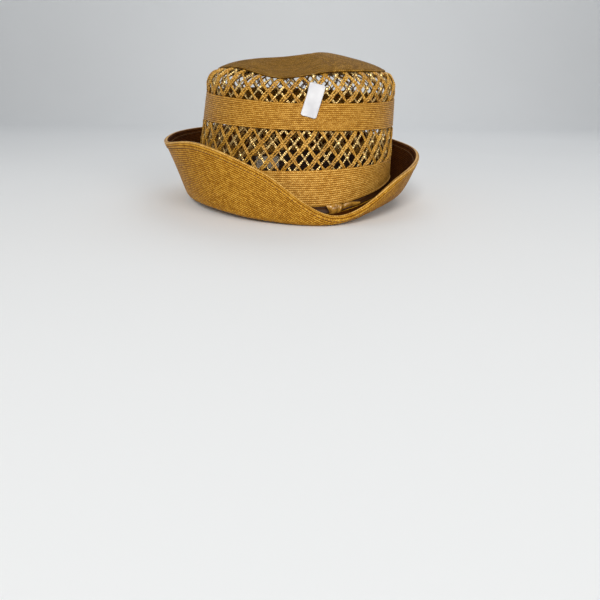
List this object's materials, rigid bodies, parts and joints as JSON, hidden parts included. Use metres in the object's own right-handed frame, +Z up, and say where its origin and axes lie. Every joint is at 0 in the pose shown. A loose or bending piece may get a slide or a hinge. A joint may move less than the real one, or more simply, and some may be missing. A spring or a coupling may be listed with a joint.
{
  "type": "fedora hat",
  "caption": "Small woman's fedora in sewn straw braid with two openwork lattice bands in a tapering oval crown, a pinched tip and a brim rolled up high behind and low in front.",
  "frame": {"origin": "under the middle of the whole hat, on the surface that its brim rests on", "axes": "+Z up through the tip, -Y towards the front of the hat, +X to the right of someone looking at the front"},
  "size_m": [0.2088, 0.2328, 0.1112],
  "materials": {
    "straw": "sewn straw braid, caramel, semi-gloss fibres",
    "straw_cord": "twisted straw cords",
    "straw_edge": "pale straw binding",
    "brown_straw": "dark chocolate straw facing",
    "gold_thread": "metallic thread",
    "satin": "golden brown satin ribbon",
    "steel_wire": "spring wire",
    "thread": "cotton sewing thread",
    "grosgrain": "ribbed grosgrain ribbon",
    "label": "woven tape, blank",
    "tag_paper": "matt paper, blank"
  },
  "bodies": {
    "root": {"crown_tip": "straw", "tip_button": "straw", "upper_lattice_wide_cords": "straw_cord", "upper_lattice_narrow_cords": "straw_cord", "upper_lattice_gold_threads": "gold_thread", "middle_band": "straw", "lower_lattice_wide_cords": "straw_cord", "lower_lattice_narrow_cords": "straw_cord", "lower_lattice_gold_threads": "gold_thread", "crown_base_wall": "straw", "base_wall_piping": "straw_cord", "headline_braid": "straw", "satin_hatband": "satin", "satin_knot": "satin", "satin_tail": "satin", "brim_straw": "straw", "brim_facing": "brown_straw", "rim_binding": "straw_edge", "rim_wire": "steel_wire", "wire_ferrule": "steel_wire", "rim_stitching": "thread", "sweatband": "grosgrain", "size_label": "label", "sweatband_bow": "grosgrain", "paper_tag": "tag_paper"}
  },
  "joints": []
}
